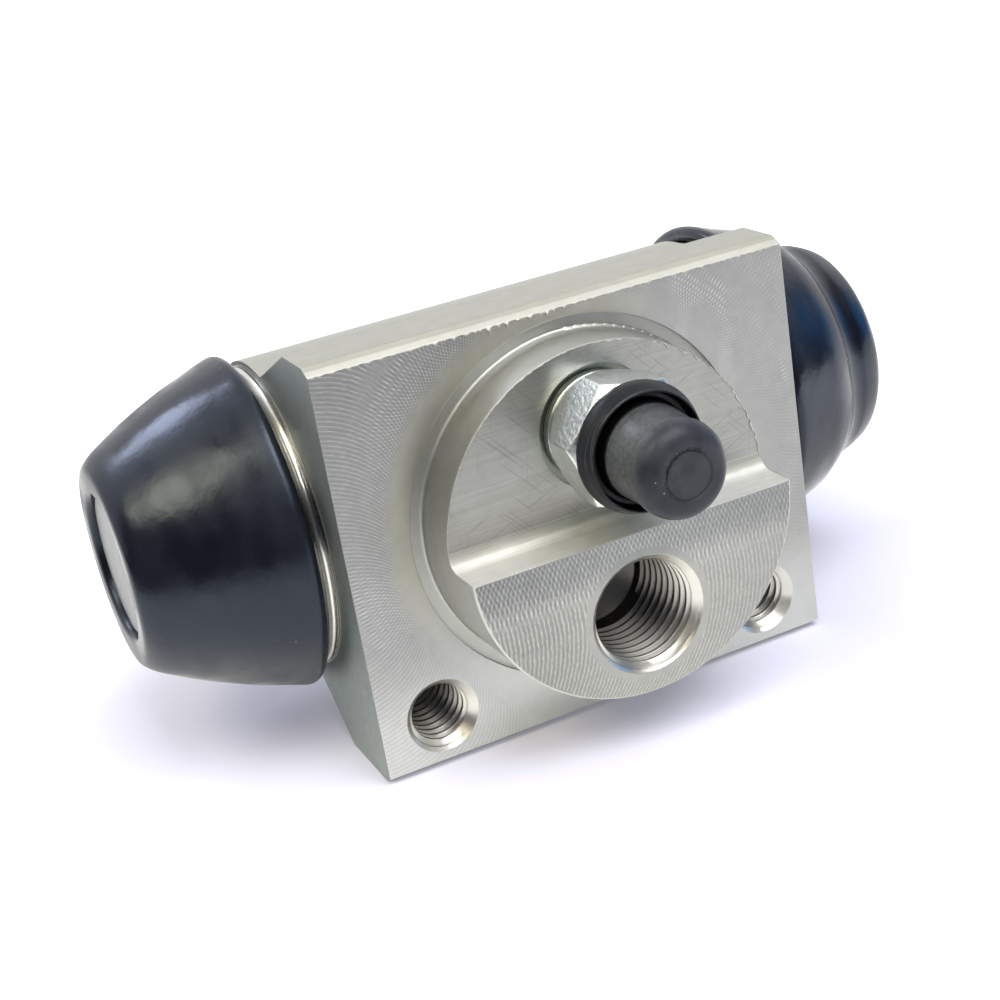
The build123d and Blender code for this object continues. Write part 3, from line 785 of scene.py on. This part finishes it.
def rounded_section(corners: Sequence[Corner], longest: float = 1.2, spacing: float = 0.6) -> BMesh:
    """Draws a half section as a wire whose corners are rounded.

    Args:
        corners: Distance along the axis, radius and how far back each corner is rounded.
        longest: The length over which an edge is divided.
        spacing: About how long its parts are then.

    Returns:
        The wire in millimetres, open when both of its ends are on the axis and else closed.
    """
    shape = bmesh.new()
    points = [shape.verts.new((along, radius, 0.0)) for along, radius, _ in corners]
    on_axis = corners[0][1] == corners[-1][1] == 0.0
    ring = points if on_axis else points + points[:1]
    for pair in zip(ring, ring[1:]):
        shape.edges.new(pair)
    for point, (_, _, rounding) in zip(points, corners):
        if rounding:
            bmesh.ops.bevel(
                shape,
                geom=[point],
                offset=rounding,
                offset_type="OFFSET",
                affect="VERTICES",
                segments=4 if rounding < 1.0 else 8,
                profile=0.5,
                material=-1,
            )
    for edge in [edge for edge in shape.edges if edge.calc_length() > longest]:
        bmesh.ops.subdivide_edges(shape, edges=[edge], cuts=int(edge.calc_length() / spacing))
    return shape


def spun(corners: Sequence[Corner], place: Matrix, steps: int) -> BMesh:
    """Spins a half section about its axis.

    Args:
        corners: The section's corners, as rounded_section takes them.
        place: Where the section's frame stands, its X along the axis.
        steps: How many steps make the full turn.

    Returns:
        The closed shape in metres, its faces pointing outwards.
    """
    shape = rounded_section(corners)
    wire = [*shape.verts, *shape.edges]
    bmesh.ops.spin(shape, geom=wire, axis=(1, 0, 0), angle=TURN, steps=steps, use_merge=True)
    bmesh.ops.remove_doubles(shape, verts=shape.verts, dist=1e-4)
    bmesh.ops.transform(shape, matrix=place @ Matrix.Scale(MM, 4), verts=shape.verts)
    bmesh.ops.recalc_face_normals(shape, faces=shape.faces)
    return shape


def close_tubes(shape: BMesh) -> None:
    """Fills the open ends of tubes and points their faces outwards."""
    bmesh.ops.holes_fill(shape, edges=[edge for edge in shape.edges if edge.is_boundary], sides=0)
    bmesh.ops.recalc_face_normals(shape, faces=shape.faces)


def placed(name: str, data: bpy.types.ID) -> Object:
    """A new object of some data, linked to the scene."""
    made = bpy.data.objects.new(name, data)
    bpy.context.scene.collection.objects.link(made)
    return made


def piece(name: str, shape: BMesh, material: Material | None) -> Object:
    """Makes an object of a bmesh.

    Args:
        name: The piece's name.
        shape: Its mesh, which is freed.
        material: Its finish.

    Returns:
        The object, at the origin and shaded smooth.
    """
    mesh = bpy.data.meshes.new(name)
    shape.to_mesh(mesh)
    shape.free()
    for polygon in mesh.polygons:
        polygon.use_smooth = True
    made = placed(name, mesh)
    if material is not None:
        mesh.materials.append(material)
    return made


def settle(made: Object) -> None:
    """Applies a piece's modifiers to its mesh.

    Args:
        made: The piece.
    """
    graph = bpy.context.evaluated_depsgraph_get()
    mesh = bpy.data.meshes.new_from_object(made.evaluated_get(graph), depsgraph=graph)
    made.modifiers.clear()
    made.data = mesh


def dress(node: str, material: Material) -> None:
    """Gives a CAD node its finish.

    Args:
        node: The node's name.
        material: The finish.
    """
    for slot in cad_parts[node].material_slots:
        slot.material = material
    log.info("%s: %s", node, material.name)


def report(made: Object) -> None:
    """Logs a piece's name and how many faces it has."""
    log.info("%s: %d faces", made.name, len(made.data.polygons))


def section_at(place: Place, turn: float) -> Matrix:
    """A half section's frame: its origin and how far it is turned about Z, in degrees."""
    return Matrix.Translation(Vector(place) * MM) @ Matrix.Rotation(radians(turn), 4, "Z")


def end_place(side: Side) -> Matrix:
    """The frame of an end face of the body, X running outwards along the bore."""
    return section_at((END_X * side.value, BORE[1], 0.0), 0.0 if side is Side.RIGHT else 180.0)


@dataclass(frozen=True)
class InnerThread:
    """A right-hand metric thread cut into a hole that runs along Y.

    The lead is how many pitches it starts ahead of the mouth, the overlap how far the cutter
    reaches in past the crest, and crest and root are half widths of the groove in pitches.
    """

    x: float
    z: float
    mouth: float
    crest_radius: float
    root_radius: float
    length: float
    pitch: float = 1.0
    steps: int = 56
    lead: float = 0.9
    overlap: float = 0.12
    crest: float = 0.44
    root: float = 0.07

    def cut_into(self, shape: BMesh) -> None:
        """Adds the thread's groove to a cutter.

        Args:
            shape: The cutter's mesh.
        """
        turns = self.length / self.pitch + self.lead
        start = self.mouth - self.pitch * self.lead
        inner, outer = self.crest_radius - self.overlap, self.root_radius
        outline = ((inner, -self.crest), (outer, -self.root), (outer, self.root), (inner, self.crest))
        corners = []
        for radius, offset in outline:
            corner = Vector((self.x + radius, start + offset * self.pitch, self.z))
            corners.append(shape.verts.new(corner * MM))
        sides = [shape.edges.new(pair) for pair in zip(corners, corners[1:] + corners[:1])]
        count = round(self.steps * turns)
        bmesh.ops.spin(
            shape,
            geom=corners + sides,
            cent=Vector((self.x, start, self.z)) * MM,
            axis=(0, 1, 0),
            dvec=(0, self.pitch * turns / count * MM, 0),
            angle=TURN * turns,
            steps=count,
        )


@dataclass
class MachinedBody:
    """The extruded and machined body with its threads in the port and the fixing holes."""

    material: Material
    threads: Sequence[InnerThread] = (
        InnerThread(0.0, PORT_Z, PAD_Y, 4.46, 5.0, 9.2),
        InnerThread(-SCREW_X, SCREW_Z, FACE_Y, 2.5, 3.0, 8.4, steps=40),
        InnerThread(SCREW_X, SCREW_Z, FACE_Y, 2.5, 3.0, 8.4, steps=40),
    )

    def thread_cutter(self) -> Object:
        """Makes the threads' grooves as one closed cutter.

        Returns:
            The cutter.
        """
        shape = bmesh.new()
        for thread in self.threads:
            thread.cut_into(shape)
        close_tubes(shape)
        return piece("thread_cutter", shape, None)

    def build(self) -> Object:
        """Makes the body from a merged copy of its CAD node.

        Returns:
            The body's piece.
        """
        shape = bmesh.new()
        shape.from_mesh(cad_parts["cylinder_body"].data)
        bmesh.ops.remove_doubles(shape, verts=shape.verts, dist=2e-7)
        bmesh.ops.dissolve_degenerate(shape, edges=shape.edges, dist=1e-8)
        body = piece("machined_body", shape, self.material)
        if "custom_normal" in body.data.attributes:
            body.data.attributes.remove(body.data.attributes["custom_normal"])
        cutter = self.thread_cutter()
        cut = body.modifiers.new("threads", "BOOLEAN")
        cut.operation, cut.solver, cut.object = "DIFFERENCE", "MANIFOLD", cutter
        settle(body)
        bpy.data.objects.remove(cutter)
        body.data.shade_smooth()
        body.data.set_sharp_from_angle(angle=radians(26))
        even = body.modifiers.new("even", "WEIGHTED_NORMAL")
        even.keep_sharp, even.weight = True, 90
        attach(body, "housing")
        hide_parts("cylinder_body")
        return body


@dataclass
class Burr:
    """A thin ragged lip that a cutter pushed over an edge of the body."""

    name: str
    material: Material
    path: Sequence[Vector]
    inwards: Sequence[Vector]
    width: float
    seed: float
    ragged_at: float
    thickness: float = 0.03

    def build(self) -> Object:
        """Makes the lip.

        Returns:
            The lip's piece, which rides on the housing.
        """
        shape = bmesh.new()
        rim = [shape.verts.new(point * MM) for point in self.path]
        edges = [shape.edges.new(pair) for pair in zip(rim, rim[1:])]
        grown = bmesh.ops.extrude_edge_only(shape, edges=edges)["geom"]
        lookup = {tuple(vert.co): index for index, vert in enumerate(rim)}
        for vert in [item for item in grown if isinstance(item, bmesh.types.BMVert)]:
            index = lookup[tuple(vert.co)]
            spot = self.path[index]
            rough = noise.noise(spot * 1.9 + Vector((self.seed, 0, 0)))
            fine = noise.noise(spot * 7.0 + Vector((0, self.seed, 0)))
            torn = max(0.0, 1.0 - abs(spot.x - self.ragged_at) / 8.0)
            reach = self.width * max(0.06, 0.18 + (0.5 + 2.4 * torn) * rough + (0.25 + 0.4 * torn) * fine)
            vert.co += (self.inwards[index] * reach + Vector((0, -0.02 - 0.06 * abs(fine), 0))) * MM
        made = piece(self.name, shape, self.material)
        wall = made.modifiers.new("wall", "SOLIDIFY")
        wall.thickness, wall.offset = self.thickness * MM, 0.0
        settle(made)
        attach(made, "housing")
        return made


def plate_edge_burr(material: Material, steps: int = 360) -> Burr:
    """The burr along the mounting face's top edge."""
    path = [Vector((-21.7 + 43.4 * i / steps, -0.01, 16.9)) for i in range(steps + 1)]
    return Burr("plate_edge_burr", material, path, [Vector((0, 0, -1))] * len(path), 0.44, 3.1, -4.0)


def half_moon_burr(material: Material, steps: int = 300, proud: float = 0.04) -> Burr:
    """The burr round the half-moon of the boss.

    Args:
        material: The body's finish.
        steps: How many steps go round.
        proud: How far it stands out past the boss's side.

    Returns:
        The burr.
    """
    radius, level = BOSS_RADIUS + proud, MOON_Y - 0.01
    angles = [radians(-0.9 + 181.8 * i / steps) for i in range(steps + 1)]
    path = [Vector((radius * cos(a), level, radius * sin(a))) for a in angles]
    inwards = [Vector((-point.x, 0, -point.z)).normalized() for point in path]
    return Burr("half_moon_burr", material, path, inwards, 0.24, 8.4, 8.0)


BOOT_BACK = (
    (4.0, 13.92, 0.0), (4.0, 13.1, 0.1), (1.92, 13.1, 0.1), (1.92, 13.95, 0.0), (1.35, 13.95, 0.12),
    (1.4, 15.5, 1.15),
)

LEFT_BOOT = (
    *BOOT_BACK, (9.1, 12.92, 4.0), (14.85, 9.66, 0.8), (15.6, 8.75, 0.4), (15.55, 6.5, 0.55),
    (13.86, 6.5, 0.0), (13.84, 5.46, 0.1), (12.05, 5.46, 0.1), (12.02, 8.95, 0.4), (8.9, 11.75, 2.5),
    (5.2, 13.92, 0.6),
)

RIGHT_BOOT = (
    *BOOT_BACK, (8.85, 13.0, 1.7), (10.7, 10.95, 1.4), (12.5, 10.85, 1.0), (14.5, 9.95, 0.7),
    (14.95, 8.9, 0.4), (14.92, 6.5, 0.5), (13.36, 6.5, 0.0), (13.34, 5.46, 0.1), (11.55, 5.46, 0.1),
    (11.5, 9.4, 0.3), (8.7, 11.7, 0.9), (5.2, 13.92, 0.6),
)


@dataclass
class DustBoot:
    """A rubber boot from the body's neck to the groove in a piston."""

    side: Side
    material: Material
    section: Sequence[Corner]
    free_to: float
    free_from: float = 3.9
    even_to: float = 4.2
    fade: float = 2.0
    ripple: float = 0.07
    steps: int = 120

    def build(self) -> Object:
        """Makes the boot.

        Returns:
            The boot's piece.
        """
        end, label = end_place(self.side), self.side.label
        boot = piece(f"{label}_boot_skin", spun(self.section, end, self.steps), self.material)
        outwards = [vert.normal.copy() for vert in boot.data.vertices]
        for vert, normal in zip(boot.data.vertices, outwards):
            spot = vert.co / MM
            along = abs(spot.x) - END_X
            near_neck = min(max((along - self.even_to) / self.fade, 0.0), 1.0)
            near_piston = min(max((self.free_to - along) / self.fade, 0.0), 1.0)
            sway = noise.noise(spot * 0.16 + Vector((5.0, 0, 0))) + 0.4 * noise.noise(spot * 0.5)
            vert.co += normal * (self.ripple * near_neck * near_piston * sway * MM)
        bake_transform(boot)
        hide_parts(f"{label}_dust_boot")
        return boot


@dataclass
class ReturnSpring:
    """Half of the spring between the pistons, stretching from the middle of the bore to one piston."""

    side: Side
    material: Material
    middle: float = -0.25
    reach: float = 12.6
    radius: float = 5.2
    wire: float = 0.65
    coils: float = 3.5
    lean: float = 6.5

    def build(self) -> Object:
        """Makes the half spring.

        Returns:
            The half spring's piece.
        """
        shape = bmesh.new()
        count = round(36 * self.coils)
        sign, label = self.side.value, self.side.label
        middle = Vector((self.middle, BORE[1], 0)) * MM
        lean = Matrix.Rotation(radians(-self.lean * sign), 4, "X")
        place = Matrix.Translation(Vector((self.middle, BORE[1] + self.radius, 0)) * MM) @ lean
        bmesh.ops.create_circle(shape, segments=12, radius=self.wire * MM, matrix=place)
        bmesh.ops.spin(
            shape,
            geom=[*shape.verts, *shape.edges],
            cent=middle,
            axis=(1, 0, 0),
            dvec=(self.reach / count * sign * MM, 0, 0),
            angle=TURN * self.coils * sign,
            steps=count,
        )
        close_tubes(shape)
        half = piece(f"{label}_spring_half", shape, self.material)
        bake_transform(half)
        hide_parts("return_spring")
        return half


@dataclass
class BleederCap:
    """The rubber cap over the bleeder's nipple, measured outwards from the half-moon."""

    material: Material
    section: Sequence[Corner] = (
        (12.5, 0.0, 0.0), (12.5, 3.35, 0.3), (6.3, 3.3, 0.1), (6.3, 5.28, 0.2), (7.15, 5.42, 0.3),
        (8.5, 4.9, 0.15), (8.5, 4.76, 0.06), (7.2, 4.66, 0.2), (7.2, 4.0, 0.2), (11.6, 3.76, 0.8),
        (12.4, 3.95, 0.5), (14.1, 3.72, 1.25), (14.1, 2.05, 0.05), (13.96, 1.95, 0.04),
        (14.06, 1.85, 0.05), (14.06, 0.0, 0.0),
    )
    lean: Place = (0.2, 0.0, -0.45)
    lean_from: float = -12.6
    lean_length: float = 6.1
    steps: int = 112

    def build(self) -> Object:
        """Makes the cap, whose end hangs a little to one side.

        Returns:
            The cap's piece, which rides on its own body.
        """
        place = section_at((0.0, MOON_Y, BLEEDER_Z), -90.0)
        cap = piece("cap_skin", spun(self.section, place, self.steps), self.material)
        for vert in cap.data.vertices:
            along = min(max((self.lean_from - vert.co.y / MM) / self.lean_length, 0.0), 1.0)
            vert.co += Vector(self.lean) * (along ** 1.5 * MM)
        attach(cap, "cap")
        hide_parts("bleeder_cap")
        return cap


@dataclass(frozen=True)
class Softbox:
    """One square soft lamp aimed at a point."""

    name: str
    place: Place
    size: float
    power: float
    colour: Place = (1.0, 1.0, 1.0)
    target: Place = (0.0, 0.005, 0.0)

    def build(self) -> None:
        """Makes the lamp."""
        data = bpy.data.lights.new(self.name, "AREA")
        data.size, data.energy, data.color = self.size, self.power, self.colour
        lamp = placed(self.name, data)
        lamp.location = self.place
        aim = Vector(self.target) - Vector(self.place)
        lamp.rotation_euler = aim.to_track_quat("-Z", "Y").to_euler()


@dataclass
class Studio:
    """White floor, soft lamps and the camera at the photograph's angle."""

    camera_place: Place = (-0.05829761, -0.12748568, 0.05630008)
    camera_turn: Place = (68.2015076, 9.0247677, -25.2537693)
    lens: float = 63.864106
    floor_height: float = -19.81
    lamps: Sequence[Softbox] = (
        Softbox("key_softbox", (0.06, -0.26, 0.46), 0.42, 3.2),
        Softbox("window", (-0.18, 0.33, 0.365), 0.15, 0.46, (0.78, 0.84, 1.0), (-0.03, 0.017, 0.0)),
        Softbox("warm_lamp", (-0.29, -0.1, 0.36), 0.2, 0.85, (1.0, 0.9, 0.6), (-0.03, 0.01, 0.0)),
    )

    def world(self) -> None:
        """Shows a white background, dim in front of the part and overhead for its reflections."""
        world = bpy.data.worlds.new("studio")
        bpy.context.scene.world = world
        g = emptied(world)
        x, y, z = g.parts(g.node("ShaderNodeTexCoord").outputs["Generated"])
        ahead = g.layered(
            (0.03, 0.033, 0.055, 1),
            ((0.12, 0.58, 1.3, 1), g.ramp(x, 0.84, 0.95), g.ramp(y, -0.36, -0.2)),
            ((0.30, 0.29, 0.26, 1), g.ramp(z, 0.4, 0.62)),
        )
        around = g.mix(g.ramp(y, 0.25, -0.1), (0.96, 0.96, 0.96, 1), ahead)
        path = g.node("ShaderNodeLightPath").outputs
        mirrored = g.mix(path["Is Glossy Ray"], (0.44, 0.44, 0.45, 1), around)
        shown = g.widest(path["Is Camera Ray"], path["Is Transmission Ray"])
        background = g.node("ShaderNodeBackground", {0: g.mix(shown, mirrored, WHITE), 1: 1.0})
        g.node("ShaderNodeOutputWorld", {0: background.outputs[0]})

    def floor(self) -> None:
        """Makes the white floor, which keeps the object's shadow, has painted shade round the object and
        ends in front for reflections.
        """
        material = bpy.data.materials.new("studio_floor")
        g = emptied(material)
        place = g.node("ShaderNodeTexCoord").outputs["Object"]
        path = g.node("ShaderNodeLightPath").outputs
        mirrored = path["Is Glossy Ray"]
        seen = g.widest(path["Is Camera Ray"], path["Is Transmission Ray"])
        away = g.vector("LENGTH", place)
        x, y, _ = g.parts(place)
        ahead = g.widest(g.ramp(y, -0.16, -0.34), g.ramp(g.total((x, -0.7), (y, -0.7)), 0.055, 0.11))
        pale = g.layered(
            (0.80, 0.80, 0.80, 1),
            ((0.7, 0.7, 0.7, 1), g.noise(place, 900.0), 0.05),
            ((0.68, 0.68, 0.80, 1), seen),
            ((0.03, 0.03, 0.05, 1), mirrored, ahead),
        )
        matt = g.node("ShaderNodeBsdfDiffuse", {"Color": pale})
        behind = g.ramp(away, 0.09, 0.2, 0.28, 0.55)
        beside = g.ramp(x, 0.045, 0.095, 0.0, 0.75)
        near = g.product(mirrored, g.widest(behind, beside), g.inverse(ahead))
        # Painted shade: for the camera the floor's glow fades near the object, darkening a halo round it on
        # top of its real shadow
        level = g.math("MULTIPLY_ADD", seen, g.ramp(away, 0.01, 0.145, 0.08, 1.0), near)
        tint = g.mix(seen, (0.98, 0.98, 1.0, 1), (0.84, 0.84, 1.0, 1))
        glow = g.node("ShaderNodeEmission", {"Color": tint, "Strength": level})
        both = g.node("ShaderNodeAddShader", {0: matt.outputs[0], 1: glow.outputs[0]})
        g.node("ShaderNodeOutputMaterial", {0: both.outputs[0]})
        shape = bmesh.new()
        middle = Matrix.Translation((0, 0, self.floor_height * MM))
        bmesh.ops.create_grid(shape, x_segments=1, y_segments=1, size=6.0, matrix=middle)
        piece("studio_floor", shape, material)

    def camera(self) -> None:
        """Makes the camera."""
        data = bpy.data.cameras.new("camera")
        data.lens, data.sensor_width, data.sensor_fit = self.lens, 36.0, "HORIZONTAL"
        data.clip_start, data.clip_end = 0.005, 50.0
        camera = placed("camera", data)
        camera.location = self.camera_place
        camera.rotation_euler = [radians(angle) for angle in self.camera_turn]
        bpy.context.scene.camera = camera

    def build(self) -> None:
        """Makes the whole studio."""
        self.world()
        self.floor()
        self.camera()
        for lamp in self.lamps:
            lamp.build()
        bpy.context.scene.view_settings.view_transform = "Standard"


def main() -> None:
    """Builds the object's pieces in order, then the studio."""
    logging.basicConfig(level=logging.INFO, format="%(message)s")
    for effect in (ring_milling, line_milling, brushing, turning, clouding, specks, scratches, soft_edges):
        effect()
    aluminium = BodyAluminium().build()
    report(MachinedBody(aluminium).build())
    report(plate_edge_burr(aluminium).build())
    report(half_moon_burr(aluminium).build())

    boot_rubber = Rubber(
        "boot_rubber",
        dark=(0.003, 0.0034, 0.007, 1),
        pale=(0.008, 0.009, 0.014, 1),
        roughness=0.27,
        patch=7.0,
        grain=0.0016,
        dents=26.0,
        gloss=0.56,
        sheen=(0.66, 0.78, 1.0, 1),
    ).build()
    report(DustBoot(Side.LEFT, boot_rubber, LEFT_BOOT, free_to=12.2).build())
    report(DustBoot(Side.RIGHT, boot_rubber, RIGHT_BOOT, free_to=11.7).build())

    turned = Metal(
        "piston_aluminium", (0.34, 0.35, 0.36, 1), (0.27, 0.28, 0.29, 1), 0.46, grain=(3.2, 3.2, 0.35)
    ).build()
    pressed = Metal("pressed_steel", (0.55, 0.55, 0.53, 1), (0.4, 0.4, 0.38, 1), 0.35, pitch=0.6).build()
    wire = Metal("spring_steel", (0.3, 0.3, 0.31, 1), (0.18, 0.18, 0.18, 1), 0.38, pitch=0.5).build()
    seal = Rubber(
        "seal_rubber",
        dark=(0.012, 0.012, 0.012, 1),
        pale=(0.025, 0.025, 0.025, 1),
        roughness=0.45,
        patch=4.0,
        grain=0.001,
    ).build()
    for side in Side:
        dress(f"{side.label}_piston", turned)
        dress(f"{side.label}_cup_seal", seal)
        dress(f"{side.label}_cup_expander", pressed)
        report(ReturnSpring(side, wire).build())

    plated = Metal(
        "bleeder_steel",
        light=(0.88, 0.92, 0.90, 1),
        shade=(0.68, 0.73, 0.72, 1),
        roughness=0.34,
        centre=(0.0, -10.0, BLEEDER_Z),
        along=(0.0, 1.0, 0.0),
        grain=(2.6, 2.0, 2.6),
        pitch=0.42,
        depth=0.009,
        edge=0.3,
        roughened=6.0,
        collar_radius=4.7,
    ).build()
    dress("bleeder_screw", plated)
    cap_rubber = CapRubber(
        "cap_rubber",
        dark=(0.018, 0.020, 0.027, 1),
        pale=(0.034, 0.037, 0.045, 1),
        roughness=0.36,
        patch=2.0,
        grain=0.0036,
        gloss=0.25,
        dust=0.7,
        sheen=(0.82, 0.89, 1.0, 1),
    ).build()
    report(BleederCap(cap_rubber).build())

    Studio().build()


if __name__ == "__main__":
    main()
